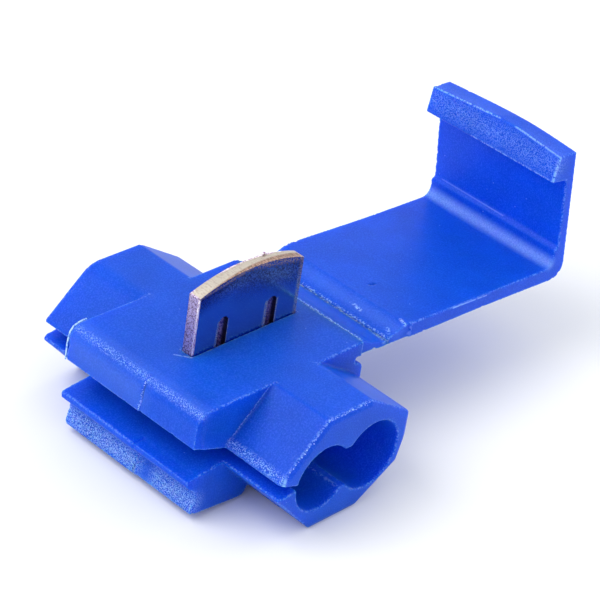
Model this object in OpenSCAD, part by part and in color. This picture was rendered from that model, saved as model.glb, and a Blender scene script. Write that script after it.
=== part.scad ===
// Run and tap wire splice, shown open: a moulded housing with two side-by-side wire channels,
// a hinged cover with a snap hook, and a raised slotted contact blade.
// +X runs across the wires towards the hinge, +Y along the wires, +Z up from the flat base.

/* [Wire channels] */
// Radius of the channel for the through wire, which enters from the side
run_r = 2.25; // [1.6:0.05:2.4]
// Radius of the channel for the branch wire, which enters from one end
tap_r = 2.4; // [1.8:0.05:2.6]
// Distance between the two channels' axes
channel_pitch = 4.2; // [4.0:0.05:4.6]
// X of the middle between the two channels
channel_mid_x = 1.5; // [1:0.05:2]
// Height of the open neck between the channels
neck_h = 2.9; // [1.6:0.1:3.2]
// Thickness of the wall that stops the branch wire
stop_wall = 1.6; // [0.8:0.1:4]

/* [Tube] */
// Length of the tube along the wires
tube_len = 21.4; // [16:0.1:28]
// How far the tube's middle lies past the block's, towards the stopped end
tube_shift = 0.1; // [0:0.05:0.4]
// Wall under the larger channel
floor_wall = 1.35; // [1:0.05:1.6]
// Wall over the larger channel
roof_wall = 1.9; // [1.6:0.05:2.8]
// Wall beside the branch channel
side_wall = 0.9; // [0.7:0.05:1]
// How far the wall beside the branch channel leans in towards its lower corner
side_draft = 0.45; // [0.2:0.05:0.6]
// Height of that wall's upper corner
side_top_h = 5.7; // [5.4:0.05:6]
// Height of that wall's lower corner
side_low_h = 2.05; // [1.6:0.05:2.2]
// Width of the flat top
tube_top_w = 3.8; // [2.5:0.1:4.2]
// Width of the flat underside
tube_bottom_w = 4.1; // [3:0.1:5]
// Slope of the upper face on the slit side
tube_slope = 42.5; // [41:0.5:48]
// Slope of the lower face on the slit side
tube_under_slope = 46; // [42:1:50]
// Rounding of the tube's long edges
tube_round = 0.45; // [0.2:0.05:0.6]
// Rounding of the long top edge over the lips, on the stopped half
far_round = 2; // [0.4:0.1:2.4]
// How much farther the lips reach on the stopped half
far_reach = 0.35; // [0:0.05:0.5]
// Height of the bevel round the tube's end faces
tube_bevel = 0.35; // [0.15:0.05:0.5]
// Length of that bevel along the wires
bevel_len = 0.2; // [0.1:0.05:0.4]

/* [Side slit] */
// Height of the slit's inner end over the channels' middle
slit_rise = 0.38; // [0.34:0.02:0.6]
// How far the two lips reach past the run channel
lip_reach = 1.45; // [1.2:0.05:1.8]
// Thickness of each lip's blunt edge
lip_edge = 0.2; // [0.1:0.02:0.3]
// Opening of the slit where it meets the run channel
slit_gap = 0.32; // [0.2:0.02:0.34]
// Slope of the upper jaw
upper_jaw_slope = 18.5; // [14:0.5:21]
// Slope of the lower jaw
lower_jaw_slope = 6.7; // [4:0.1:9]

/* [Centre block] */
// Width of the centre block across the wires
block_w = 14.35; // [13.8:0.05:15]
// Length of the centre block along the wires
block_len = 11.56; // [9:0.02:14]
// Rounding of the top plate's slit-side edge
plate_round = 0.9; // [0.3:0.05:1]
// How far the plate's slit-side face leans in at its top
plate_lean = 0.15; // [0:0.05:0.3]
// Height of the relief under the hinge
relief_h = 0.4; // [0.2:0.05:0.6]
// Depth of the relief under the hinge
relief_d = 0.5; // [0.2:0.05:0.7]
// How far the rounded nose under the relief stands out past the block
nose_out = 0.25; // [0:0.05:0.3]
// Rounding of that nose
nose_round = 0.6; // [0.3:0.05:0.8]
// How far the ledge's rim stands out past the top plate
rim_out = 0.1; // [0:0.02:0.12]
// Height of the ledge's upright rim
rim_h = 0.45; // [0.3:0.05:0.6]
// Depth of the catch groove under the rim
catch_d = 0.85; // [0.6:0.05:1]
// Height of the groove's slanting upper face
catch_h = 0.75; // [0.5:0.05:1]
// How far the catch face slants outwards down to the block's lower edge
catch_flare = 0.32; // [0.2:0.02:0.34]
// Height of the block's raised lower edge
block_lift = 0.5; // [0.3:0.05:0.7]

/* [Hinge] */
// Length of the thin web between the housing and the cover
web_len = 2.6; // [2.4:0.1:2.8]
// Thickness of the web at its thinnest
web_t = 0.4; // [0.3:0.05:0.5]
// Depth of the web's underside below the top plate
web_depth = 1.07; // [1:0.01:1.15]
// Length of the cover's ramp from the web up to the strap
ramp_len = 1.65; // [1.2:0.05:2.2]
// How much narrower the hinge is than the strap, on each side
hinge_inset = 0.1; // [0.05:0.05:0.8]
// Angle by which the open cover hangs below level
cover_droop = 3; // [0:0.5:6]

/* [Cover] */
// Width of the cover along the wires
cover_w = 11.4; // [9:0.1:13]
// Thickness of the strap
strap_t = 1.1; // [0.9:0.05:1.3]
// Gap between the closed strap and the top plate
closed_gap = 0.06; // [0.04:0.01:0.12]
// How far the open strap lies below the level of the plate's top
strap_step = 0.18; // [0.1:0.02:0.3]
// Thickness of the leg
leg_t = 0.8; // [0.7:0.05:0.9]
// Inward lean of the leg
leg_lean = 11.5; // [8:0.5:12]
// Height of the leg above the strap's inner face
leg_h = 9.5; // [9.4:0.05:10]
// Outer radius of the bend
bend_r = 1; // [0.6:0.05:1.3]
// Height of the thicker root of the leg
root_h = 1.3; // [0.9:0.05:1.6]
// Extra thickness of the leg's root
root_t = 0.35; // [0.15:0.05:0.4]
// Radius of the fillet between the root and the strap
root_fillet = 0.75; // [0.4:0.05:0.8]
// Height of the hook's bar
hook_h = 2.4; // [2.1:0.05:2.5]
// Gap between the hook's edge and the ledge's rim as the cover swings shut
hook_gap = 0.16; // [0.12:0.01:0.3]
// How far the hook's bar stands out from the leg
hook_out = 1.5; // [1.2:0.05:1.6]
// Rise of the hook's gabled end
hook_crown = 0.5; // [0.2:0.05:0.7]
// Distance of the gable's peak from the cover's middle, along the wires
hook_peak = 1.1; // [0:0.1:2]

/* [Contact] */
// Width of the contact blade across the wires
contact_w = 9; // [8.6:0.05:9.2]
// Thickness of the contact blade
contact_t = 0.9; // [0.7:0.05:1.1]
// Rise of the blade's arched top
contact_crown = 0.8; // [0.3:0.05:1]
// Width of each wire slot in the blade
wire_slot_w = 0.75; // [0.5:0.05:1]
// Height of the blade left above the wire slots
bridge_h = 2.9; // [2.4:0.05:3.4]
// Width of each wire slot's mouth
mouth_w = 2; // [1.4:0.1:2.4]
// Height of each wire slot's tapered mouth
mouth_h = 0.9; // [0.6:0.1:1.4]
// Clearance round the blade in its slot
contact_gap = 0.06; // [0.04:0.01:0.1]
// Clearance between the blade's points and the channels, above and below
point_gap = 0.05; // [0.05:0.01:0.15]
// Distance of the blade from the middle of the block, along the wires
contact_shift = 0.4; // [0:0.05:0.8]

/* [Hidden] */
$fn = 96;
blue = [0.05, 0.28, 0.86];
tin = [0.76, 0.72, 0.66];
// Overrun of cuts past the faces that they open
over = 1;
// Facets on each rounded corner of an outline
corner_steps = 5;
// Rounding of crisp edges, of small ones and of soft ones
crisp_r = 0.08;
small_r = 0.15;
soft_r = 0.4;
full_turn = 360;

// Channels
run_x = channel_mid_x - channel_pitch / 2;
tap_x = channel_mid_x + channel_pitch / 2;
channel_r = max(run_r, tap_r);
channel_z = floor_wall + channel_r;
body_h = floor_wall + 2 * channel_r + roof_wall;

// Slit: two jaw faces that open outwards from the run channel
slit_x = run_x - sqrt(pow(run_r, 2) - pow(slit_gap, 2));
lip_x = run_x - run_r - lip_reach;
slit_top = channel_z + slit_rise;
slit_bottom = slit_top - slit_gap;
function upper_jaw_z(x) = slit_top + (slit_x - x) * tan(upper_jaw_slope);
function lower_jaw_z(x) = slit_bottom - (slit_x - x) * tan(lower_jaw_slope);

// Tube outline
tube_right = tap_x + tap_r + side_wall;
function lip_top(x) = upper_jaw_z(x) + lip_edge;
function lip_bottom(x) = lower_jaw_z(x) - lip_edge;
function top_from(x) = x + (body_h - lip_top(x)) / tan(tube_slope);
function bottom_from(x) = x + lip_bottom(x) / tan(tube_under_slope);
tube_bottom_x = bottom_from(lip_x);
tube_top_end = top_from(lip_x) + tube_top_w;
tube_bottom_end = tube_bottom_x + tube_bottom_w;

// Centre block outline
plate_edge = -block_w / 2;
hinge_face = block_w / 2;
rim_x = plate_edge - rim_out;
rim_top = lower_jaw_z(rim_x);
rim_bottom = rim_top - rim_h;
catch_x = rim_x + catch_d;
catch_z = rim_bottom - catch_h;
block_edge_x = catch_x - catch_flare;
nose_x = hinge_face + nose_out;
nose_drop = 0.15;
block_foot = 0.6;
// The ledge's underside ends in a rounded heel, clear of the tube's lower slope
heel_reach = 1.15;
heel_notch = 0.45;
heel_lift = 0.1;
heel_x = tube_bottom_x - heel_reach;

// Hinge and cover, drawn level and then let down by the droop
strap_top = body_h - strap_step;
strap_bottom = strap_top - strap_t;
web_end = hinge_face + web_len;
hinge_x = hinge_face + web_len / 2;
hinge_z = (body_h + closed_gap + strap_top) / 2;
web_bottom = body_h - web_depth;
web_seat_z = strap_bottom + web_t;
ramp_end = web_end + ramp_len;
leg_top = strap_top + leg_h;
root_top = strap_top + root_h;
hook_z = leg_top - hook_h;
hook_round = 0.1;
// The hook's edge swings past the rim's lower corner
rim_swing = norm([rim_x - hinge_x, rim_bottom - hinge_z]);
hook_x = hinge_x + sqrt(pow(rim_swing + hook_gap, 2) - pow(hook_z - hinge_z, 2));
leg_slope = tan(leg_lean);
leg_w = leg_t / cos(leg_lean);
leg_in_x = hook_x + hook_out;
leg_out_x = leg_in_x + leg_w + (hook_z - strap_bottom) * leg_slope;
function leg_inner(z) = leg_in_x + (hook_z - z) * leg_slope;
function leg_outer(z) = leg_out_x - (z - strap_bottom) * leg_slope;

// Contact blade, drawn raised: its travel takes its points right across the channels
contact_travel = 2 * channel_r + 2 * point_gap;
contact_top = body_h - point_gap + contact_travel;
contact_foot = channel_z + channel_r + point_gap;
contact_left = channel_mid_x - contact_w / 2;
contact_arc_r = (pow(contact_w / 2, 2) + pow(contact_crown, 2)) / (2 * contact_crown);
contact_slot_z = contact_top - bridge_h;

function unit(v) = v / norm(v);

// The same angle, between minus and plus half a turn
function wrapped(angle) = (angle + 1.5 * full_turn) % full_turn - full_turn / 2;

// Arc points that round the corner b between its neighbours a and c
function corner(a, b, c, r) =
    r == 0 ? [b] :
    let (
        u = unit(a - b),
        v = unit(c - b),
        half = acos(u * v) / 2,
        centre = b + unit(u + v) * r / sin(half),
        first = b + u * r / tan(half) - centre,
        last = b + v * r / tan(half) - centre,
        start = atan2(first[1], first[0]),
        sweep = wrapped(atan2(last[1], last[0]) - start)
    )
    [for (i = [0:corner_steps])
        centre + r * [cos(start + sweep * i / corner_steps), sin(start + sweep * i / corner_steps)]];

function flat(p) = [p[0], p[1]];

// Outline from points given as [x, z, corner radius]
function rounded(p) =
    let (n = len(p))
    [for (i = [0:n - 1]) each corner(flat(p[(i + n - 1) % n]), flat(p[i]), flat(p[(i + 1) % n]), p[i][2])];

// Where a point of the level cover lies once the cover hangs by its droop
function drooped(x, z) =
    let (dx = x - hinge_x, dz = z - hinge_z)
    [hinge_x + dx * cos(cover_droop) + dz * sin(cover_droop),
     hinge_z - dx * sin(cover_droop) + dz * cos(cover_droop)];

// An XZ outline extruded along the wires, centred on the block
module along_wires(length) {
    rotate([90, 0, 0]) linear_extrude(height = length, center = true) children();
}

// Section of the tube whose lips end at the given X
module tube_outline(lip, top_round) {
    polygon(rounded([
        [top_from(lip), body_h, top_round],
        [tube_top_end, body_h, tube_round],
        [tube_right, side_top_h, tube_round],
        [tube_right, channel_z, tube_right - tap_x],
        [tube_right - side_draft, side_low_h, small_r],
        [tube_bottom_end, 0, tube_round],
        [bottom_from(lip), 0, tube_round / 2],
        [lip, lip_bottom(lip), lip_edge / 2],
        [lip, lip_top(lip), lip_edge / 2]]));
}

// Half of the tube, from its middle to a bevelled end
module tube_half(lip, top_round) {
    skin = 0.01;
    body_len = tube_len / 2 - bevel_len;
    rotate([90, 0, 0]) {
        linear_extrude(height = body_len) tube_outline(lip, top_round);
        hull() {
            translate([0, 0, body_len]) linear_extrude(height = skin) tube_outline(lip, top_round);
            translate([0, 0, body_len]) linear_extrude(height = bevel_len)
                offset(delta = -tube_bevel) tube_outline(lip, top_round);
        }
    }
}

// Solid tube: the stopped half has longer lips and a rounder top
module tube() {
    tube_half(lip_x, tube_round);
    mirror([0, 1, 0]) tube_half(lip_x - far_reach, far_round);
}

module block_outline() {
    polygon(rounded([
        [plate_edge + plate_lean, body_h, plate_round],
        [hinge_face, body_h, 0],
        [hinge_face, web_bottom, 0],
        [hinge_face - relief_d, web_bottom, crisp_r],
        [hinge_face - relief_d, web_bottom - relief_h, crisp_r],
        [nose_x, web_bottom - relief_h - nose_drop, nose_round],
        [nose_x, block_foot, small_r],
        [nose_x - block_foot, 0, small_r],
        [tube_bottom_x + over, 0, 0],
        [heel_x + heel_notch, heel_notch * 2, 0],
        [heel_x, heel_lift, soft_r],
        [block_edge_x + small_r, block_lift, small_r / 2],
        [block_edge_x, block_lift + small_r, small_r / 2],
        [catch_x, catch_z, small_r],
        [rim_x, rim_bottom, crisp_r],
        [rim_x, rim_top + rim_h, 0],
        [plate_edge, rim_top + rim_h, 0]]));
}

// Wedge of air between the two jaws
module slit() {
    far_x = rim_x - over;
    near_x = run_x - run_r / 2;
    along_wires(tube_len + 2 * over) polygon([
        [near_x, slit_top],
        [slit_x, slit_top],
        [far_x, upper_jaw_z(far_x)],
        [far_x, lower_jaw_z(far_x)],
        [slit_x, slit_bottom],
        [near_x, slit_bottom]]);
}

// Round channels side by side: the first goes right through, the second stops at a wall
module channels() {
    tap_len = tube_len - stop_wall + over;
    translate([run_x, 0, channel_z]) rotate([90, 0, 0])
        cylinder(r = run_r, h = tube_len + 2 * over, center = true);
    translate([tap_x, -tube_len / 2 - over, channel_z]) rotate([-90, 0, 0])
        cylinder(r = tap_r, h = tap_len);
    translate([run_x, -tube_len / 2 - over, channel_z - neck_h / 2])
        cube([channel_pitch, tap_len, neck_h]);
}

// Pocket that guides the contact blade down across both channels
module contact_slot() {
    slot_floor = channel_z - channel_r - 3 * point_gap;
    translate([contact_left - contact_gap, -contact_shift - contact_t / 2 - contact_gap, slot_floor])
        cube([contact_w + 2 * contact_gap, contact_t + 2 * contact_gap, body_h]);
}

module housing() {
    color(blue) difference() {
        union() {
            translate([0, tube_shift, 0]) tube();
            along_wires(block_len) block_outline();
        }
        translate([0, tube_shift, 0]) {
            channels();
            slit();
        }
        contact_slot();
    }
}

// Living hinge: slopes down from the plate to a thin floor, and ends at the hanging cover's edge
module hinge_web() {
    web_rise = 0.04;
    color(blue) along_wires(cover_w - 2 * hinge_inset) polygon([
        [hinge_face, web_bottom],
        drooped(web_end, strap_bottom),
        drooped(web_end, web_seat_z),
        [hinge_x, web_bottom + web_t + web_rise],
        [hinge_face, body_h]]);
}

// Ramp, strap, bend, leg and hook in one outline, level
module cover_outline() {
    polygon(rounded([
        [web_end, strap_bottom, 0],
        [leg_out_x, strap_bottom, bend_r],
        [leg_outer(leg_top), leg_top, soft_r],
        [hook_x + hook_h * hook_round, leg_top - hook_round, small_r],
        [hook_x, hook_z, hook_round],
        [leg_inner(hook_z - small_r), hook_z - small_r, hook_round],
        [leg_inner(root_top + root_t), root_top + root_t, small_r],
        [leg_inner(root_top) - root_t, root_top, small_r],
        [leg_inner(strap_top) - root_t, strap_top, root_fillet],
        [ramp_end, strap_top, 0],
        [web_end, web_seat_z, 0]]));
}

// Everything below the hook's gabled end
module under_gable() {
    reach = cover_w / 2 + over;
    far_drop = hook_crown * (reach + hook_peak) / (cover_w / 2 + hook_peak);
    near_drop = hook_crown * (reach - hook_peak) / (cover_w / 2 - hook_peak);
    rotate([90, 0, 90]) linear_extrude(height = leg_out_x + over) polygon([
        [-reach, strap_bottom - over],
        [reach, strap_bottom - over],
        [reach, leg_top - far_drop],
        [-hook_peak, leg_top],
        [-reach, leg_top - near_drop]]);
}

// Lets the level cover hang by its droop about the hinge
module hanging() {
    translate([hinge_x, 0, hinge_z]) rotate([0, cover_droop, 0])
        translate([-hinge_x, 0, -hinge_z]) children();
}

module cover() {
    inset_end = ramp_end + soft_r;
    color(blue) hanging() difference() {
        intersection() {
            along_wires(cover_w) cover_outline();
            under_gable();
        }
        for (side = [-1, 1])
            translate([web_end - over, side * cover_w / 2 - hinge_inset, strap_bottom - over])
                cube([inset_end - web_end + over, 2 * hinge_inset, strap_t + 2 * over]);
    }
}

// Wire slot with a tapered mouth, cut upwards from the blade's points
module wire_slot() {
    straight_h = contact_slot_z - contact_foot - wire_slot_w / 2;
    translate([-wire_slot_w / 2, -over]) square([wire_slot_w, straight_h + over]);
    translate([0, straight_h]) circle(d = wire_slot_w);
    polygon([
        [-mouth_w / 2 - over, -over],
        [mouth_w / 2 + over, -over],
        [mouth_w / 2, 0],
        [wire_slot_w / 2, mouth_h],
        [-wire_slot_w / 2, mouth_h],
        [-mouth_w / 2, 0]]);
}

module contact_outline() {
    difference() {
        intersection() {
            translate([contact_left, contact_foot]) square([contact_w, contact_top - contact_foot]);
            translate([channel_mid_x, contact_top - contact_arc_r]) circle(r = contact_arc_r);
        }
        for (x = [run_x, tap_x]) translate([x, contact_foot]) wire_slot();
    }
}

module contact() {
    color(tin) translate([0, -contact_shift, 0]) along_wires(contact_t) contact_outline();
}

housing();
hinge_web();
cover();
contact();
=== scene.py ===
# %% [markdown]
# A run and tap wire splice, lying open: one blue moulding, which is a housing with two wire
# channels, a thin living hinge and a cover with a snap hook, and a raised tinned blade.
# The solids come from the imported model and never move. Each piece of the look is laid over
# its solid, in metres, in the same frame: +X towards the hinge, +Y along the wires, +Z up.

import math
import random

import bmesh
import bpy
import numpy as np
from mathutils import Euler, Matrix, Vector
from mathutils.kdtree import KDTree


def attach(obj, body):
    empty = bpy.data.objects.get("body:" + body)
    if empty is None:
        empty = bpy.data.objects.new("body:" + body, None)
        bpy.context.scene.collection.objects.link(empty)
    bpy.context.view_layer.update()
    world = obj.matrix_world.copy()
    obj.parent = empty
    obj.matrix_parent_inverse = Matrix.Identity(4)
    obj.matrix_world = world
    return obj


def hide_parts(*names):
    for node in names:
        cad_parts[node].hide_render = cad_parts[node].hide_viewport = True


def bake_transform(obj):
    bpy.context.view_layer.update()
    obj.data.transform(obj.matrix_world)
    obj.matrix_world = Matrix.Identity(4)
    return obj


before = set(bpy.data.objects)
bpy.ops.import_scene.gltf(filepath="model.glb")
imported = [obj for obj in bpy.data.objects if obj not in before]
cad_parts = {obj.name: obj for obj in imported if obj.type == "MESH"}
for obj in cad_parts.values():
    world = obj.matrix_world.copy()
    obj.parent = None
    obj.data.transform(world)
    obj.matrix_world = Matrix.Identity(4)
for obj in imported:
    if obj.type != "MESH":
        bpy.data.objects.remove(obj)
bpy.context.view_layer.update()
MM = 0.001
print("nodes:", sorted(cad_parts))

# %% [markdown]
# The camera comes first, so that every later step can be judged from the photograph's side.
# It is placed by its direction (azimuth, elevation and roll) and by where it stands. A long
# lens from near by would flatten the part too much, so the distance was measured, not guessed.

# %% Camera at the photograph's angle
IMAGE_PX = 600
FOCAL_PX = 2437.4
AZIMUTH, ELEVATION, ROLL = (math.radians(a) for a in (-50.02, 32.13, 9.14))
CAMERA_AT = Vector((-93.57, -84.54, 90.59)) * MM

backwards = Vector((math.sin(AZIMUTH) * math.cos(ELEVATION), -math.cos(AZIMUTH) * math.cos(ELEVATION),
                    math.sin(ELEVATION)))
level = Vector((math.cos(AZIMUTH), math.sin(AZIMUTH), 0))
rightwards = level * math.cos(ROLL) + backwards.cross(level) * math.sin(ROLL)
upwards = backwards.cross(rightwards)

camera = bpy.data.objects.new("Camera", bpy.data.cameras.new("Camera"))
bpy.context.collection.objects.link(camera)
camera.data.lens = FOCAL_PX / IMAGE_PX * camera.data.sensor_width
camera.data.clip_start = 1 * MM
camera.matrix_world = Matrix.Translation(CAMERA_AT) @ Matrix((rightwards, upwards, backwards)).transposed().to_4x4()
bpy.context.scene.camera = camera
print("lens", round(camera.data.lens, 1), "mm")

# %% [markdown]
# Soft light for a small product: a pale room all round, one large panel above the slit side
# and a weaker one from the front. The floor is a plain pale sheet that keeps the shadow.

# %% World, lamps and floor
scene = bpy.context.scene
scene.view_settings.view_transform = "Standard"

world = bpy.data.worlds.new("Pale room")
scene.world = world
world.use_nodes = True
nodes, links = world.node_tree.nodes, world.node_tree.links
nodes.clear()
room = nodes.new("ShaderNodeBackground")
room.inputs["Color"].default_value = (0.93, 0.96, 1.0, 1)
room.inputs["Strength"].default_value = 0.8
white = nodes.new("ShaderNodeBackground")
white.inputs["Strength"].default_value = 1.0
white.inputs["Color"].default_value = (1, 1, 1, 1)
path = nodes.new("ShaderNodeLightPath")
seen = nodes.new("ShaderNodeMath")
seen.operation = "MAXIMUM"
clear = nodes.new("ShaderNodeMath")
clear.operation = "MAXIMUM"
links.new(path.outputs["Is Camera Ray"], seen.inputs[0])
links.new(path.outputs["Is Glossy Ray"], seen.inputs[1])
links.new(seen.outputs[0], clear.inputs[0])
links.new(path.outputs["Is Transmission Ray"], clear.inputs[1])
pick = nodes.new("ShaderNodeMixShader")
links.new(clear.outputs[0], pick.inputs["Fac"])
links.new(room.outputs[0], pick.inputs[1])
links.new(white.outputs[0], pick.inputs[2])
links.new(pick.outputs[0], nodes.new("ShaderNodeOutputWorld").inputs["Surface"])


def panel(name, place, aim, size, watts):
    """A square soft light that faces a point, in metres."""
    lamp = bpy.data.lights.new(name, "AREA")
    lamp.size, lamp.energy = size, watts
    obj = bpy.data.objects.new(name, lamp)
    bpy.context.collection.objects.link(obj)
    obj.location = place
    obj.rotation_euler = (Vector(place) - Vector(aim)).to_track_quat("Z", "Y").to_euler()
    return obj


MIDDLE = (0.009, 0, 0.006)
panel("Key", (-0.13, 0.07, 0.19), MIDDLE, 0.18, 0.36)
panel("Fill", (-0.03, -0.2, 0.12), MIDDLE, 0.2, 0.04)
panel("Side", (0.2, -0.02, 0.12), MIDDLE, 0.2, 0.12)

floor_mesh = bpy.data.meshes.new("Floor")
side = 2.0
floor_mesh.from_pydata([(-side, -side, 0), (side, -side, 0), (side, side, 0), (-side, side, 0)], [], [(0, 1, 2, 3)])
floor = bpy.data.objects.new("Floor", floor_mesh)
bpy.context.collection.objects.link(floor)
floor.location.z = -0.02 * MM

# %% [markdown]
# Materials and pieces are both made of node trees. These helpers keep them short: one adds a
# node and fills its inputs with values or with other sockets, one starts a group with named
# inputs and outputs, and one starts a material with its shader.


# %% Node helpers
def add(tree, kind, inputs=None, **settings):
    """A node of that kind, with its settings, and inputs given as values or as sockets."""
    node = tree.nodes.new(kind)
    for key, value in settings.items():
        setattr(node, key, value)
    for key, value in (inputs or {}).items():
        socket = node.inputs[key]
        if isinstance(value, bpy.types.NodeSocket):
            tree.links.new(value, socket)
        else:
            socket.default_value = value
    return node


def new_group(name, inputs, outputs, kind="ShaderNodeTree"):
    """A node group whose inputs are (label, type, value) and outputs (label, type)."""
    tree = bpy.data.node_groups.new(name, kind)
    for label, socket, value in inputs:
        item = tree.interface.new_socket(label, in_out="INPUT", socket_type="NodeSocket" + socket)
        if value is not None:
            item.default_value = value
    for label, socket in outputs:
        tree.interface.new_socket(label, in_out="OUTPUT", socket_type="NodeSocket" + socket)
    return tree, add(tree, "NodeGroupInput").outputs, add(tree, "NodeGroupOutput").inputs


def sum_of(tree, operation, *values):
    """A maths node, which takes values or sockets in order."""
    return add(tree, "ShaderNodeMath", dict(enumerate(values)), operation=operation).outputs[0]


def arrow(tree, operation, *values, scale=None):
    """A vector maths node, which gives a vector."""
    node = add(tree, "ShaderNodeVectorMath", dict(enumerate(values)), operation=operation)
    if scale is not None:
        if isinstance(scale, bpy.types.NodeSocket):
            tree.links.new(scale, node.inputs["Scale"])
        else:
            node.inputs["Scale"].default_value = scale
    return node.outputs["Vector"]


def reach(tree, operation, *values):
    """A vector maths node, which gives a single value."""
    return add(tree, "ShaderNodeVectorMath", dict(enumerate(values)), operation=operation).outputs["Value"]


def ramp(tree, value, start, end, low=0.0, high=1.0, kind="SMOOTHSTEP"):
    """Turns the range from start to end into low to high, and holds it there outside."""
    return add(tree, "ShaderNodeMapRange", {"Value": value, "From Min": start, "From Max": end,
                                            "To Min": low, "To Max": high}, interpolation_type=kind).outputs[0]


def blended(tree, factor, a, b):
    """A colour between a and b."""
    node = add(tree, "ShaderNodeMix", {"Factor": factor}, data_type="RGBA")
    for socket, value in zip([s for s in node.inputs if s.type == "RGBA"], (a, b)):
        if isinstance(value, bpy.types.NodeSocket):
            tree.links.new(value, socket)
        else:
            socket.default_value = (*value, 1)
    return [s for s in node.outputs if s.type == "RGBA"][0]


def finish_of(name, **constants):
    """A material with one shader, whose constant sockets are set directly."""
    material = bpy.data.materials.new(name)
    material.use_nodes = True
    shader = material.node_tree.nodes["Principled BSDF"]
    for key, value in constants.items():
        shader.inputs[key.replace("_", " ")].default_value = value
    return material, material.node_tree, shader


def place_mm(tree):
    """The surface's own place, in millimetres."""
    return arrow(tree, "SCALE", add(tree, "ShaderNodeTexCoord").outputs["Object"], scale=1 / MM)


floor_finish, tree, shader = finish_of("Pale floor", Roughness=0.9)
shader.inputs["Base Color"].default_value = (0.93, 0.93, 0.93, 1)
floor.data.materials.append(floor_finish)

# %% [markdown]
# Four effects are shared by the plastic and the metal, so each is a group of its own.
# "Stroke" marks what lies near a straight line, which is how scratches, edges and creases
# are found. "Speckle" breaks a mark up into grains. "Grain" is the fine unevenness of the
# surface. "Specks" are loose bright dots of dust and nicks.

# %% Stroke: how near the surface is to a line
stroke, given, result = new_group("Stroke", [
    ("Place", "Vector", None), ("Start", "Vector", None), ("End", "Vector", None), ("Width", "Float", 0.1)],
    [("Mask", "Float")])
along = arrow(stroke, "SUBTRACT", given["End"], given["Start"])
out = arrow(stroke, "SUBTRACT", given["Place"], given["Start"])
share = add(stroke, "ShaderNodeMath", {0: reach(stroke, "DOT_PRODUCT", out, along),
                                       1: reach(stroke, "DOT_PRODUCT", along, along)},
            operation="DIVIDE", use_clamp=True).outputs[0]
off = reach(stroke, "DISTANCE", out, arrow(stroke, "SCALE", along, scale=share))
stroke.links.new(ramp(stroke, off, given["Width"], 0.0), result["Mask"])

# %% Speckle: grains that cover part of a mark
speckle, given, result = new_group("Speckle", [
    ("Place", "Vector", None), ("Size", "Float", 0.1), ("Cover", "Float", 0.5)], [("Mask", "Float")])
grains = add(speckle, "ShaderNodeTexNoise", {
    "Vector": given["Place"], "Scale": sum_of(speckle, "DIVIDE", 1.0, given["Size"]), "Detail": 2.0})
least = sum_of(speckle, "MULTIPLY_ADD", given["Cover"], -0.4, 0.68)
speckle.links.new(ramp(speckle, grains.outputs["Fac"], sum_of(speckle, "SUBTRACT", least, 0.05),
                       sum_of(speckle, "ADD", least, 0.05)), result["Mask"])

# %% Grain: broad mottling and fine height
grain, given, result = new_group("Grain", [("Place", "Vector", None)], [("Mottle", "Float"), ("Height", "Float")])
broad = add(grain, "ShaderNodeTexNoise", {"Vector": given["Place"], "Scale": 0.35, "Detail": 2.0})
fine = add(grain, "ShaderNodeTexNoise", {"Vector": given["Place"], "Scale": 10.0, "Detail": 3.0})
grain.links.new(broad.outputs["Fac"], result["Mottle"])
grain.links.new(fine.outputs["Fac"], result["Height"])

# %% Specks: loose bright dots
specks, given, result = new_group("Specks", [("Place", "Vector", None), ("Per Mm", "Float", 1.0), ("Size", "Float", 0.06)],
                                  [("Mask", "Float")])
cells = add(specks, "ShaderNodeTexVoronoi", {"Vector": given["Place"], "Scale": given["Per Mm"]})
chosen = ramp(specks, add(specks, "ShaderNodeSeparateColor", {0: cells.outputs["Color"]}).outputs[0], 0.55, 0.62)
dot = ramp(specks, cells.outputs["Distance"], sum_of(specks, "MULTIPLY", given["Size"], given["Per Mm"]), 0.0)
specks.links.new(sum_of(specks, "MULTIPLY", chosen, dot), result["Mask"])


def use(tree, group, inputs):
    """One use of a shared effect, which gives its outputs."""
    node = add(tree, "ShaderNodeGroup", node_tree=group)
    for key, value in inputs.items():
        if isinstance(value, bpy.types.NodeSocket):
            tree.links.new(value, node.inputs[key])
        else:
            node.inputs[key].default_value = value
    return node.outputs


print("shared effects:", [g.name for g in bpy.data.node_groups])

# %% [markdown]
# The plastic is a saturated blue that turns pale where it has been bent, scraped or cut: the
# sheared edges, the hook, the catch and the creases of the hinge are all sugary with fine
# whitish grains. Each such place is a stroke with its own width, strength and coarseness.
# Some of the pale marks are painted light: the pale sharp edges and the near tube's end rim are
# partly painted highlights, a faint pale band on the strap's ramp is painted light, and two
# dark lines are painted shade, along the parting seam and in a nick in the strap.

# %% Blue polypropylene
DEEP_BLUE = (0.0, 0.072, 0.57)
PALE_BLUE = (0.34, 0.55, 0.95)


def worn(tree, place, strokes):
    """The strongest of several strokes, each (start, end, width, strength, grain, cover)."""
    total = 0.0
    for start, end, width, strength, size, cover in strokes:
        mask = use(tree, stroke, {"Place": place, "Start": start, "End": end, "Width": width})["Mask"]
        if cover < 1:
            broken = use(tree, speckle, {"Place": place, "Size": size, "Cover": cover})["Mask"]
            mask = sum_of(tree, "MULTIPLY", mask, broken)
        total = sum_of(tree, "MAXIMUM", sum_of(tree, "MULTIPLY", mask, strength), total)
    return total


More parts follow.
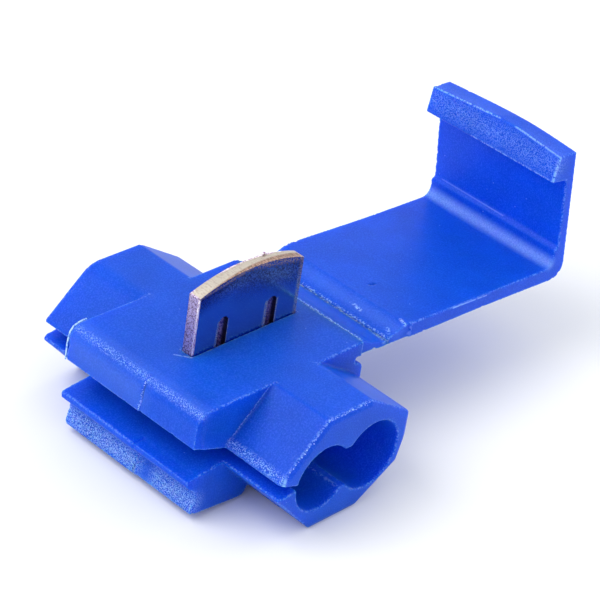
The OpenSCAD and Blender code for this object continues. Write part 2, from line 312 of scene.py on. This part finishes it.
def plastic(name, strokes, cracks_and_painted_shade=()):
    """Blue plastic with its own worn places, partly painted highlights, dark cracks and painted shade lines, in
    millimetres.
    """
    material, tree, shader = finish_of(name)
    shader.inputs["Specular IOR Level"].default_value = 0.13
    shader.inputs["Subsurface Weight"].default_value = 0.8
    shader.inputs["Subsurface Radius"].default_value = (0.03, 0.22, 1.0)
    shader.inputs["Subsurface Scale"].default_value = 3.0 * MM
    place = place_mm(tree)
    uneven = use(tree, grain, {"Place": place})
    edge = add(tree, "ShaderNodeAttribute", attribute_name="edge").outputs["Fac"]
    chip = add(tree, "ShaderNodeAttribute", attribute_name="chip").outputs["Fac"]
    # Sharp edges turn a little pale and grainy: partly wear, partly a painted highlight along the edges.
    edge_wear_and_highlight = use(tree, speckle, {"Place": place, "Size": 0.14, "Cover": 0.36})["Mask"]
    pale = worn(tree, place, strokes)
    pale = sum_of(tree, "MAXIMUM", pale, sum_of(tree, "MULTIPLY", sum_of(tree, "MULTIPLY", edge, edge_wear_and_highlight), 0.3))
    pale = sum_of(tree, "MAXIMUM", pale, sum_of(tree, "MULTIPLY", chip, 0.35))
    dots = use(tree, specks, {"Place": place, "Per Mm": 1.1, "Size": 0.07})["Mask"]
    pale = sum_of(tree, "MAXIMUM", pale, sum_of(tree, "MULTIPLY", dots, 0.5))
    pale = sum_of(tree, "ADD", pale, ramp(tree, uneven["Height"], 0.42, 0.72, 0.0, 0.045))
    cloudy = sum_of(tree, "ADD", sum_of(tree, "MULTIPLY", uneven["Mottle"], 0.45),
                    sum_of(tree, "MULTIPLY", uneven["Height"], 0.55))
    blue = blended(tree, ramp(tree, cloudy, 0.36, 0.64, kind="LINEAR"), [c * 0.88 for c in DEEP_BLUE],
                   [c * 1.12 for c in DEEP_BLUE])
    if cracks_and_painted_shade:
        blue = blended(tree, worn(tree, place, cracks_and_painted_shade), blue, [c * 0.3 for c in DEEP_BLUE])
    tree.links.new(blended(tree, pale, blue, PALE_BLUE), shader.inputs["Base Color"])
    rough = sum_of(tree, "MULTIPLY_ADD", uneven["Height"], 0.12, 0.34)
    tree.links.new(sum_of(tree, "MULTIPLY_ADD", pale, 0.3, rough), shader.inputs["Roughness"])
    height = sum_of(tree, "MULTIPLY_ADD", pale, 1.5, sum_of(tree, "MULTIPLY", uneven["Height"], 0.35))
    bump = add(tree, "ShaderNodeBump", {"Height": height, "Strength": 0.5, "Distance": 0.02 * MM})
    tree.links.new(bump.outputs[0], shader.inputs["Normal"])
    return material


HALF_BLOCK = 5.75
HALF_COVER = 5.68
housing_plastic = plastic("Blue housing", [
    ((-6.65, -HALF_BLOCK, 7.85), (-6.65, 5.5, 7.85), 0.5, 0.62, 0.075, 0.32),
    ((-6.4, -HALF_BLOCK, 8.0), (-6.4, 5.3, 8.0), 0.9, 0.06, 0.1, 1),
    ((-7.17, -0.2, 6.8), (-7.17, HALF_BLOCK, 6.8), 2.0, 0.08, 0.1, 1),
    ((-7.27, -HALF_BLOCK, 3.27), (-7.27, -1.2, 3.27), 0.12, 0.5, 0.13, 0.5),
    ((-7.27, -1.2, 3.27), (-7.27, HALF_BLOCK, 3.27), 0.12, 0.3, 0.12, 0.3),
    ((-6.75, -0.6, 2.3), (-6.75, 5.2, 2.3), 0.3, 0.9, 0.09, 0.42),
    ((-6.62, -0.4, 1.3), (-6.62, HALF_BLOCK, 1.3), 1.35, 0.75, 0.075, 0.42),
    ((-6.62, -HALF_BLOCK, 1.3), (-6.62, -2.7, 1.3), 1.35, 0.75, 0.075, 0.42),
    ((-6.62, -2.4, 0.5), (-6.62, -0.6, 0.3), 0.7, 0.5, 0.07, 0.42),
    ((-6.62, -0.6, 0.3), (-6.62, -0.72, 1.8), 0.09, 0.7, 0.1, 0.6),
    ((-6.75, -0.6, 2.35), (-6.7, -2.45, 2.3), 0.09, 0.7, 0.1, 0.6),
    ((-4.05, -10.5, 4.95), (-4.05, -5.9, 4.95), 0.5, 0.75, 0.08, 0.34),
    # Painted highlight, partly wear: a broken pale rim along the near tube's end.
    ((-3.9, -10.42, 5.2), (-0.75, -10.42, 7.95), 0.14, 0.5, 0.12, 0.42),
    ((-0.75, -10.42, 7.98), (3.0, -10.42, 7.98), 0.14, 0.55, 0.12, 0.34),
    ((-3.8, -5.79, 5.4), (-1.2, -5.79, 7.9), 0.1, 0.4, 0.1, 0.5),
    ((-4.05, -10.5, 4.6), (-3.95, -10.5, 4.95), 0.2, 0.9, 0.1, 0.8),
    ((-6.6, -0.98, 8.0), (-7.17, -0.85, 5.6), 0.13, 0.8, 0.14, 0.45),
    ((-2.61, 6.03, 8.05), (-1.03, 5.81, 8.05), 0.07, 0.55, 0.1, 1),
    ((-3.8, -0.1, 8.05), (-3.15, -0.95, 8.05), 0.1, 0.6, 0.2, 0.7),
    ((7.1, -5.7, 8.02), (7.1, -0.3, 8.02), 0.1, 0.7, 0.14, 0.35),
    ((-7.17, -HALF_BLOCK, 5.6), (-7.17, HALF_BLOCK, 5.6), 0.13, 0.6, 0.16, 0.4)], [
    ((-6.62, -0.64, 0.3), (-6.66, -0.62, 1.2), 0.16, 0.9, 0.1, 1),
    ((-6.66, -0.62, 1.2), (-6.7, -0.95, 2.2), 0.16, 0.9, 0.1, 1),
    ((-6.7, -2.2, 2.1), (-6.7, -0.95, 2.3), 0.1, 0.6, 0.1, 1),
    # Painted shadow: a dark line under the parting seam's step on the slit-side face.
    ((-6.9, -1.05, 7.75), (-7.2, -0.98, 5.7), 0.12, 0.7, 0.1, 1)])
cover_plastic = plastic("Blue cover", [
    ((25.85, -HALF_COVER, 7.3), (25.85, HALF_COVER, 7.3), 0.7, 0.34, 0.12, 1),
    ((25.85, -HALF_COVER, 7.3), (25.85, HALF_COVER, 7.3), 0.65, 0.5, 0.09, 0.45),
    ((26.3, -0.75, 8.45), (26.3, 4.9, 8.5), 0.08, 0.2, 0.1, 1),
    ((24.2, -HALF_COVER, 15.3), (24.2, HALF_COVER, 15.3), 1.5, 0.34, 0.075, 0.4),
    ((24.32, -HALF_COVER, 16.05), (24.4, -1.6, 16.4), 0.14, 0.8, 0.11, 0.6),
    ((24.4, -0.2, 16.4), (24.32, HALF_COVER, 16.05), 0.14, 0.8, 0.11, 0.5),
    ((24.05, -HALF_COVER, 14.2), (24.4, -HALF_COVER, 16.35), 0.25, 0.8, 0.12, 0.55),
    ((24.08, -HALF_COVER, 14.2), (24.08, 1.5, 14.2), 0.2, 0.7, 0.12, 0.5),
    ((15.9, -5.7, 7.35), (19.3, -5.7, 7.1), 0.1, 0.9, 0.2, 0.7),
    # Painted light: a faint pale band on the ramp at the strap's hinge end, which is also rougher.
    ((10.7, -5.6, 7.45), (10.7, 5.6, 7.45), 0.95, 0.09, 0.1, 1),
    ((9.85, -5.5, 7.15), (9.85, 2.2, 7.15), 0.16, 0.6, 0.14, 0.36),
    ((10.6, -1.7, 7.4), (10.5, -2.4, 7.35), 0.22, 0.6, 0.16, 0.6),
    ((10.4, -4.9, 7.35), (10.2, -5.2, 7.3), 0.22, 0.7, 0.16, 0.5),
    ((11.5, -5.0, 7.7), (11.3, -5.6, 7.65), 0.2, 0.8, 0.12, 0.55)], [
    # Painted shade: a dark line in the nick across the strap.
    ((13.0, -0.88, 7.6), (13.3, -0.95, 7.6), 0.2, 0.7, 0.1, 1)])
hinge_plastic = plastic("Blue hinge", [
    ((7.25, -5.6, 7.95), (7.25, -0.3, 7.95), 0.1, 0.7, 0.14, 0.4),
    ((9.75, -5.5, 7.05), (9.75, 2.2, 7.05), 0.2, 0.6, 0.14, 0.45),
    ((9.6, -4.6, 7.1), (9.4, -5.5, 7.1), 0.3, 0.6, 0.12, 0.42)])
flash_plastic, tree, shader = finish_of("Pale flash", Roughness=0.35)
place = place_mm(tree)
thin = use(tree, speckle, {"Place": place, "Size": 0.2, "Cover": 0.6})["Mask"]
tree.links.new(blended(tree, thin, (0.12, 0.32, 0.85), (0.45, 0.68, 0.95)), shader.inputs["Base Color"])
print("plastics ready")

# %% [markdown]
# The blade is blanked from tinned brass. Its faces are mirror bright, and the blue of the housing they reflect is a
# painted reflection in their colour,
# while its cut edges are rough: cream tin smeared over the top, brown brass below, and painted shade inside the slots.

# %% Tinned brass, as a mirror face and as a cut edge
BLADE_MIDDLE = 1.5
mirror_face, tree, shader = finish_of("Tinned face", Metallic=1.0)
place = place_mm(tree)
uneven = use(tree, grain, {"Place": place})
rims = worn(tree, place, [
    ((-1.02, -0.85, 8.0), (-1.0, -0.85, 9.65), 0.24, 0.9, 0.06, 0.45),
    ((-0.2, -0.85, 8.0), (-0.2, -0.85, 9.7), 0.12, 0.6, 0.06, 0.4),
    ((3.12, -0.85, 8.0), (3.16, -0.85, 9.65), 0.34, 1.0, 0.06, 0.45),
    ((4.02, -0.85, 8.0), (4.0, -0.85, 9.7), 0.2, 0.8, 0.06, 0.42),
    ((5.9, -0.85, 8.0), (5.95, -0.85, 12.0), 0.42, 1.0, 0.07, 0.42),
    ((1.5, -0.85, 12.9), (6.0, -0.85, 12.05), 0.36, 1.0, 0.08, 0.42),
    ((-3.0, -0.85, 12.1), (1.5, -0.85, 12.9), 0.2, 0.8, 0.08, 0.5)])
soiled = use(tree, speckle, {"Place": place, "Size": 0.08, "Cover": 0.46})["Mask"]
# Painted reflection: the faces take the housing's blue in their colour, a paler blue low down and a deep blue, duller
# and rougher, towards the top edge.
painted_dark_reflection = worn(tree, place, [
    ((-3.0, -0.85, 12.3), (1.5, -0.85, 13.1), 1.8, 1.0, 0.1, 1),
    ((1.5, -0.85, 13.1), (6.2, -0.85, 12.2), 3.2, 1.0, 0.1, 1)])
face = blended(tree, painted_dark_reflection, (0.22, 0.40, 0.57), (0.005, 0.045, 0.28))
face = blended(tree, sum_of(tree, "MULTIPLY", soiled, painted_dark_reflection), face, (0.01, 0.015, 0.05))
tree.links.new(blended(tree, rims, face, (0.20, 0.15, 0.21)), shader.inputs["Base Color"])
tree.links.new(sum_of(tree, "MULTIPLY_ADD", rims, -0.8, 1.0), shader.inputs["Metallic"])
dull = sum_of(tree, "MULTIPLY_ADD", painted_dark_reflection, 0.16, sum_of(tree, "MULTIPLY_ADD", uneven["Height"], 0.08, 0.06))
tree.links.new(sum_of(tree, "MULTIPLY_ADD", rims, 0.3, dull), shader.inputs["Roughness"])
height = sum_of(tree, "MULTIPLY_ADD", rims, 1.5, sum_of(tree, "MULTIPLY", uneven["Height"], 0.2))
tree.links.new(add(tree, "ShaderNodeBump", {"Height": height, "Strength": 0.4, "Distance": 0.02 * MM}).outputs[0],
               shader.inputs["Normal"])

cut_edge, tree, shader = finish_of("Cut edge", Metallic=1.0)
place = place_mm(tree)
parts = add(tree, "ShaderNodeSeparateXYZ", {0: place}).outputs
uneven = use(tree, grain, {"Place": place})
scored = use(tree, speckle, {"Place": arrow(tree, "MULTIPLY", place, (1, 0.25, 1)), "Size": 0.08, "Cover": 0.4})["Mask"]
torn = ramp(tree, sum_of(tree, "MULTIPLY_ADD", parts["X"], -0.07, parts["Y"]), -0.6, -0.75)
cream = blended(tree, sum_of(tree, "MULTIPLY", scored, 0.45), (0.60, 0.55, 0.48), (0.42, 0.32, 0.28))
brown = blended(tree, scored, (0.24, 0.16, 0.12), (0.50, 0.33, 0.28))
top = blended(tree, torn, cream, brown)
pitted = use(tree, speckle, {"Place": place, "Size": 0.09, "Cover": 0.5})["Mask"]
plum = blended(tree, pitted, (0.22, 0.15, 0.23), (0.56, 0.47, 0.66))
sides = ramp(tree, sum_of(tree, "ABSOLUTE", sum_of(tree, "SUBTRACT", parts["X"], BLADE_MIDDLE)), 4.38, 4.42)
outer = blended(tree, sides, top, plum)
# Painted shade: the cut walls inside the slots, below the top edge, are painted near black at the front and dark
# speckled lavender further back.
slot_painted_shade = sum_of(tree, "MULTIPLY", ramp(tree, parts["Z"], 10.25, 10.1), sum_of(tree, "SUBTRACT", 1.0, sides))
slot_shade_colour = blended(tree, ramp(tree, parts["Y"], -0.6, -0.35), (0.03, 0.02, 0.04),
               blended(tree, pitted, (0.08, 0.07, 0.20), (0.30, 0.22, 0.40)))
tree.links.new(blended(tree, slot_painted_shade, outer, slot_shade_colour), shader.inputs["Base Color"])
tree.links.new(ramp(tree, uneven["Height"], 0.3, 0.7, 0.28, 0.55), shader.inputs["Roughness"])
height = sum_of(tree, "ADD", scored, uneven["Height"])
tree.links.new(add(tree, "ShaderNodeBump", {"Height": height, "Strength": 0.6, "Distance": 0.02 * MM}).outputs[0],
               shader.inputs["Normal"])
burr_metal, tree, shader = finish_of("Burr", Metallic=0.5)
place = place_mm(tree)
glint = use(tree, speckle, {"Place": place, "Size": 0.1, "Cover": 0.5})["Mask"]
tree.links.new(blended(tree, glint, (0.34, 0.18, 0.34), (1.0, 0.92, 0.96)), shader.inputs["Base Color"])
tree.links.new(ramp(tree, glint, 0.0, 1.0, 0.45, 0.2), shader.inputs["Roughness"])
print("metals ready")

# %% [markdown]
# The moulding's solids have knife edges. On the real part every edge is a little round and
# every inner corner has a small fillet. A bevel would trip over the many short faces at the
# channels, so the shape is wrapped in an even voxel skin and smoothed, which rounds all of
# them alike. The solid is turned to a slant before it is wrapped, so that no long edge runs
# along the voxel grid, where steps would show, and is turned back afterwards.


# %% A soft skin over a solid
SLANT = Euler((0.41, 0.67, 0.93)).to_matrix().to_4x4()
SKIN_LIMIT = 190000
SHARP = math.radians(35)


def as_mesh(obj):
    """Replaces an object's mesh by what its modifiers give, and removes the modifiers."""
    done = bpy.data.meshes.new_from_object(obj.evaluated_get(bpy.context.evaluated_depsgraph_get()))
    obj.modifiers.clear()
    obj.data = done


def merged_copy(node):
    """The CAD node's shape with its doubled points merged, and the node left as it is."""
    copy = bmesh.new()
    copy.from_mesh(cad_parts[node].data)
    bmesh.ops.remove_doubles(copy, verts=copy.verts, dist=0.002 * MM)
    return copy


def edge_points(solid, spacing):
    """Points along the outer sharp edges, in metres."""
    points = []
    for edge in solid.edges:
        if len(edge.link_faces) == 2 and edge.calc_face_angle_signed(0) > SHARP:
            a, b = (v.co for v in edge.verts)
            steps = max(1, round((b - a).length / spacing))
            points += [a.lerp(b, (i + 0.5) / steps) for i in range(steps)]
    return points


def nearest(points):
    """A search tree over points."""
    tree = KDTree(len(points))
    for i, point in enumerate(points):
        tree.insert(point, i)
    tree.balance()
    return tree


def falloff(obj, points, radii, name):
    """Stores, for each vertex, how near it is to the points: 1 at a point, 0 at its radius."""
    values = np.zeros(len(obj.data.vertices))
    tree = nearest([v.co for v in obj.data.vertices])
    for point, radius in zip(points, radii):
        for _, i, distance in tree.find_range(point, radius):
            values[i] = max(values[i], 1 - (distance / radius) ** 2)
    obj.data.attributes.new(name, "FLOAT", "POINT").data.foreach_set("value", values)
    return values


def soft_skin(node, name, voxel, passes, chips, seed, shaped=None):
    """A CAD node's shape with rounded, nicked edges, as an even mesh."""
    solid = merged_copy(node)
    edges = edge_points(solid, 0.08 * MM)
    mesh = bpy.data.meshes.new(name)
    solid.to_mesh(mesh)
    solid.free()
    mesh.transform(SLANT)
    obj = bpy.data.objects.new(name, mesh)
    bpy.context.collection.objects.link(obj)
    wrap = obj.modifiers.new("Even skin", "REMESH")
    wrap.mode, wrap.voxel_size = "VOXEL", voxel * MM
    ease = obj.modifiers.new("Ease the edges", "SMOOTH")
    ease.factor, ease.iterations = 0.5, passes
    as_mesh(obj)
    obj.data.transform(SLANT.inverted())

    draw = random.Random(seed)
    nicks = draw.sample(edges, chips)
    radii = [draw.uniform(0.08, 0.22) * MM for _ in nicks]
    depth = falloff(obj, nicks, radii, "chip")
    count = len(obj.data.vertices)
    places, normals = np.empty(count * 3), np.empty(count * 3)
    obj.data.vertices.foreach_get("co", places)
    obj.data.vertices.foreach_get("normal", normals)
    places, normals = places.reshape(-1, 3), normals.reshape(-1, 3)
    moved = places - normals * (depth * 0.05 * MM)[:, None]
    if shaped:
        moved += normals * (shaped(places / MM, normals) * MM)[:, None]
    obj.data.vertices.foreach_set("co", moved.ravel())
    obj.data.attributes.remove(obj.data.attributes["chip"])

    triangles = 2 * len(obj.data.polygons)
    if triangles > SKIN_LIMIT:
        thin = obj.modifiers.new("Fewer faces", "DECIMATE")
        thin.ratio = SKIN_LIMIT / triangles
        as_mesh(obj)
    falloff(obj, nicks, radii, "chip")
    falloff(obj, edges, [0.16 * MM] * len(edges), "edge")
    obj.data.shade_smooth()
    print(name, "has", len(obj.data.polygons), "faces, from", triangles, "triangles")
    return obj


def smooth(value, start, end):
    """0 before start, 1 after end, and smooth between."""
    t = np.clip((value - start) / (end - start), 0, 1)
    return t * t * (3 - 2 * t)


SEAM_Y = -0.92


def housing_marks(place, normal):
    """Height of the parting step, of the gate scar on the catch, and of the broad sinks."""
    x, y, z = place.T
    slit_side = smooth(-x, 6.2, 6.6) * smooth(z, 0.3, 0.5)
    step = 0.05 * (smooth(y, SEAM_Y - 0.04, SEAM_Y + 0.04) - 1) - 0.06 * np.exp(-((y - SEAM_Y) / 0.06) ** 2)
    sink = 0.02 * (np.sin(0.55 * x + 0.9) * np.cos(0.48 * y - 0.6) - 1) * np.clip(normal[:, 2], 0, 1)
    catch = smooth(-x, 6.0, 6.3) * smooth(-z, -2.6, -2.4)
    along = (y + 0.6) / -1.8
    gate = -0.09 * smooth(z - 1.2 - 0.7 * along, 0, 0.15) * smooth(along, 0, 0.06) * smooth(-along, -1, -0.9)
    crack = -0.1 * np.exp(-((y + 0.66) / 0.07) ** 2) * smooth(-z, -1.85, -1.7)
    return step * slit_side + sink + (gate + crack) * catch


def cover_marks(place, normal):
    """Height of the broad waves in the strap and the leg, and of one nick in the strap."""
    x, y, z = place.T
    waves = 0.025 * (np.sin(0.42 * x - 0.3) * np.cos(0.5 * y + 0.4) - 1)
    nick = -0.14 * np.exp(-((x - 13.15) / 0.22) ** 2 - ((y + 0.9 + 0.3 * (x - 13.15)) / 0.08) ** 2 - ((z - 7.6) / 0.4) ** 2)
    return waves + nick


housing_shell = soft_skin("housing", "housing_shell", 0.07, 6, 70, 7, housing_marks)
cover_shell = soft_skin("cover", "cover_shell", 0.07, 6, 34, 11, cover_marks)
housing_shell.data.materials.append(housing_plastic)
cover_shell.data.materials.append(cover_plastic)

# %% [markdown]
# The blade keeps its flat faces, so its edges take a plain narrow bevel.

# %% The contact blade
blade_mesh = bpy.data.meshes.new("blade")
solid = merged_copy("contact")
bmesh.ops.dissolve_limit(solid, angle_limit=math.radians(1), verts=solid.verts, edges=solid.edges)
solid.to_mesh(blade_mesh)
solid.free()
blade = bpy.data.objects.new("contact_blade", blade_mesh)
bpy.context.collection.objects.link(blade)
bevel = blade.modifiers.new("Dull edges", "BEVEL")
bevel.width, bevel.segments, bevel.limit_method, bevel.angle_limit = 0.04 * MM, 2, "ANGLE", math.radians(40)
bevel.harden_normals = True
as_mesh(blade)
blade.data.materials.clear()
blade.data.materials.append(mirror_face)
blade.data.materials.append(cut_edge)
for face in blade.data.polygons:
    face.material_index = 0 if abs(face.normal.y) > 0.9 else 1
print("blade faces:", len(blade.data.polygons))

# %% [markdown]
# Three small things follow a path, so each is a Geometry Nodes tree with named inputs. The
# hinge is a thin strip swept along the wires from its section. A bead is a thread of flash
# or burr along an edge. Crumbs are the whitish grains that stay along a scraped edge.


# %% Geometry trees: strip, bead and crumbs
def geometry_group(name, inputs):
    """A geometry tree with the given inputs, which ends in Realize Instances and Set Material."""
    tree, given, result = new_group(name, [("Geometry", "Geometry", None), ("Material", "Material", None), *inputs],
                                    [("Geometry", "Geometry")], kind="GeometryNodeTree")

    def finish(geometry):
        real = add(tree, "GeometryNodeRealizeInstances", {"Geometry": geometry}).outputs[0]
        dressed = add(tree, "GeometryNodeSetMaterial", {"Geometry": real, "Material": given["Material"]}).outputs[0]
        tree.links.new(dressed, result["Geometry"])

    return tree, given, finish


def jitter(tree, amount, scale, seed):
    """A noise vector about zero, in metres, that differs with the seed."""
    place = arrow(tree, "SCALE", add(tree, "GeometryNodeInputPosition").outputs[0], scale=1 / MM)
    noise = add(tree, "ShaderNodeTexNoise", {"Vector": place, "W": seed, "Scale": scale, "Detail": 2.0},
                noise_dimensions="4D")
    about = arrow(tree, "SUBTRACT", noise.outputs["Color"], (0.5, 0.5, 0.5))
    return arrow(tree, "SCALE", about, scale=amount)


strip, given, finish = geometry_group("Swept strip", [
    ("Length", "Float", 0.01), ("Unevenness", "Float", 0.0), ("Seed", "Float", 0.0)])
half = sum_of(strip, "MULTIPLY", given["Length"], 0.5)
ends = [add(strip, "ShaderNodeCombineXYZ", {"Y": v}).outputs[0] for v in (sum_of(strip, "MULTIPLY", half, -1.0), half)]
line = add(strip, "GeometryNodeCurvePrimitiveLine", {"Start": ends[0], "End": ends[1]}).outputs[0]
line = add(strip, "GeometryNodeResampleCurve", {"Curve": line, "Count": 90}).outputs[0]
swept = add(strip, "GeometryNodeCurveToMesh", {"Curve": line, "Profile Curve": given["Geometry"], "Fill Caps": True}).outputs[0]
finish(add(strip, "GeometryNodeSetPosition", {
    "Geometry": swept, "Offset": arrow(strip, "MULTIPLY", jitter(strip, given["Unevenness"], 1.1, given["Seed"]), (0, 0, 1))
}).outputs[0])

bead, given, finish = geometry_group("Bead", [
    ("Radius", "Float", 0.0001), ("Unevenness", "Float", 0.0001), ("Seed", "Float", 0.0)])
line = add(bead, "GeometryNodeResampleCurve", {"Curve": given["Geometry"], "Count": 60}).outputs[0]
line = add(bead, "GeometryNodeSetPosition", {
    "Geometry": line, "Offset": jitter(bead, given["Unevenness"], 2.5, given["Seed"])}).outputs[0]
ring = add(bead, "GeometryNodeCurvePrimitiveCircle", {"Resolution": 7, "Radius": given["Radius"]}).outputs[0]
finish(add(bead, "GeometryNodeCurveToMesh", {"Curve": line, "Profile Curve": ring, "Fill Caps": True}).outputs[0])

crumbs, given, finish = geometry_group("Crumbs", [
    ("Count", "Int", 40), ("Size", "Float", 0.0001), ("Scatter", "Float", 0.0002), ("Seed", "Int", 0)])
line = add(crumbs, "GeometryNodeCurveToPoints", {"Curve": given["Geometry"], "Count": given["Count"]}).outputs[0]
away = add(crumbs, "FunctionNodeRandomValue", {"Min": (-1, -1, -0.2), "Max": (1, 1, 0.2), "Seed": given["Seed"]},
           data_type="FLOAT_VECTOR").outputs[0]
line = add(crumbs, "GeometryNodeSetPosition", {
    "Geometry": line, "Offset": arrow(crumbs, "SCALE", away, scale=given["Scatter"])}).outputs[0]
pebble = add(crumbs, "GeometryNodeMeshIcoSphere", {"Radius": given["Size"], "Subdivisions": 2}).outputs[0]
turned = add(crumbs, "FunctionNodeRandomValue", {"Min": (0, 0, 0), "Max": (6, 6, 6), "Seed": given["Seed"]},
             data_type="FLOAT_VECTOR").outputs[0]
grown = add(crumbs, "FunctionNodeRandomValue", {"Min": (0.3, 0.3, 0.25), "Max": (1.4, 1.1, 0.8), "Seed": given["Seed"]},
            data_type="FLOAT_VECTOR").outputs[0]
finish(add(crumbs, "GeometryNodeInstanceOnPoints", {"Points": line, "Instance": pebble, "Rotation": turned,
                                                    "Scale": grown}).outputs[0])


def traced(name, lines, tree, material, closed=False, **inputs):
    """A piece made by a geometry tree from lines of points in millimetres."""
    curve = bpy.data.curves.new(name, "CURVE")
    curve.dimensions = "3D"
    for points in lines:
        spline = curve.splines.new("POLY")
        spline.points.add(len(points) - 1)
        spline.use_cyclic_u = closed
        for knot, point in zip(spline.points, points):
            knot.co = (*(v * MM for v in point), 1)
    source = bpy.data.objects.new(name, curve)
    bpy.context.collection.objects.link(source)
    made = source.modifiers.new("Made by", "NODES")
    made.node_group = tree
    for item in tree.interface.items_tree:
        if item.item_type == "SOCKET" and item.in_out == "INPUT" and item.name != "Geometry":
            made[item.identifier] = material if item.name == "Material" else inputs[item.name.lower()]
    mesh = bpy.data.meshes.new_from_object(source.evaluated_get(bpy.context.evaluated_depsgraph_get()))
    bpy.data.objects.remove(source)
    piece = bpy.data.objects.new(name, mesh)
    bpy.context.collection.objects.link(piece)
    print(name, "has", len(mesh.polygons), "faces")
    return piece


# %% The hinge strip, from its section
HINGE_X = 8.475
top_of_strip = [(7.05, 7.95), (7.22, 7.95), (7.5, 7.84), (7.85, 7.66), (8.18, 7.48), (8.77, 7.33), (9.1, 7.24),
                (9.45, 7.13), (9.68, 7.03), (9.86, 7.05)]
under_strip = [(9.86, 6.8), (9.4, 6.76), (8.95, 6.8), (8.7, 6.86), (8.52, 7.0), (8.43, 7.0), (8.28, 6.94), (7.05, 7.0)]
hinge_strip = traced("hinge_strip", [[(x, -z, 0) for x, z in top_of_strip + under_strip]], strip, hinge_plastic,
                     closed=True, length=11.2 * MM, unevenness=0.07 * MM, seed=3.0)

# %% Flash on the moulding, and burrs on the blade
flash = traced("flash", [[(-5.75, 5.8, 8.07), (-6.3, 5.8, 8.05), (-6.75, 5.8, 7.9), (-7.02, 5.8, 7.55), (-7.12, 5.8, 7.1),
                          (-7.17, 5.8, 6.3), (-7.18, 5.8, 5.62)]], bead, flash_plastic,
               radius=0.055 * MM, unevenness=0.06 * MM, seed=1.0)
burr = traced("burr", [[(-2.935, -0.785, 8.06), (-2.935, -0.785, 12.04)],
                       [(-2.93, -0.02, 12.06), (-1.6, -0.02, 12.45), (0.0, -0.02, 12.77), (1.5, -0.02, 12.85),
                        (2.9, -0.02, 12.8), (3.1, -0.02, 12.95), (3.3, -0.02, 12.76), (4.6, -0.02, 12.45)]],
              bead, burr_metal, radius=0.085 * MM, unevenness=0.05 * MM, seed=5.0)
housing_crumbs = traced("housing_crumbs", [
    [(-3.8, -10.5, 5.2), (-0.78, -10.5, 7.98)], [(-0.78, -10.5, 7.98), (3.0, -10.5, 7.98)],
    [(-4.2, -10.4, 4.8), (-4.2, -9.2, 4.8)], [(-6.9, -0.95, 7.7), (-7.18, -0.88, 5.7)]],
    crumbs, flash_plastic, count=16, size=0.04 * MM, scatter=0.06 * MM, seed=2)
crease_crumbs = traced("crease_crumbs", [[(7.19, -5.6, 8.03), (7.19, 0.4, 8.03)]], crumbs, flash_plastic,
                       count=60, size=0.04 * MM, scatter=0.05 * MM, seed=4)
cover_crumbs = traced("cover_crumbs", [
    [(9.9, -5.2, 7.04), (9.9, -2.0, 7.04)], [(10.6, -1.8, 7.33), (10.5, -2.3, 7.31)]],
    crumbs, flash_plastic, count=16, size=0.04 * MM, scatter=0.07 * MM, seed=9)

# %% Each piece takes its solid's place
for piece, node, slot in ((housing_shell, "housing", "blue_plastic"), (cover_shell, "cover", "blue_plastic"),
                          (blade, "contact", "tinned_brass")):
    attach(piece, node)
    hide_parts(node)
for piece, node, slot in ((flash, "housing", "blue_plastic"), (housing_crumbs, "housing", "blue_plastic"),
                          (crease_crumbs, "housing", "blue_plastic"), (cover_crumbs, "cover", "blue_plastic"), (burr, "contact", "tinned_brass")):
    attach(piece, node)
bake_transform(hinge_strip)
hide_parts("hinge_web")
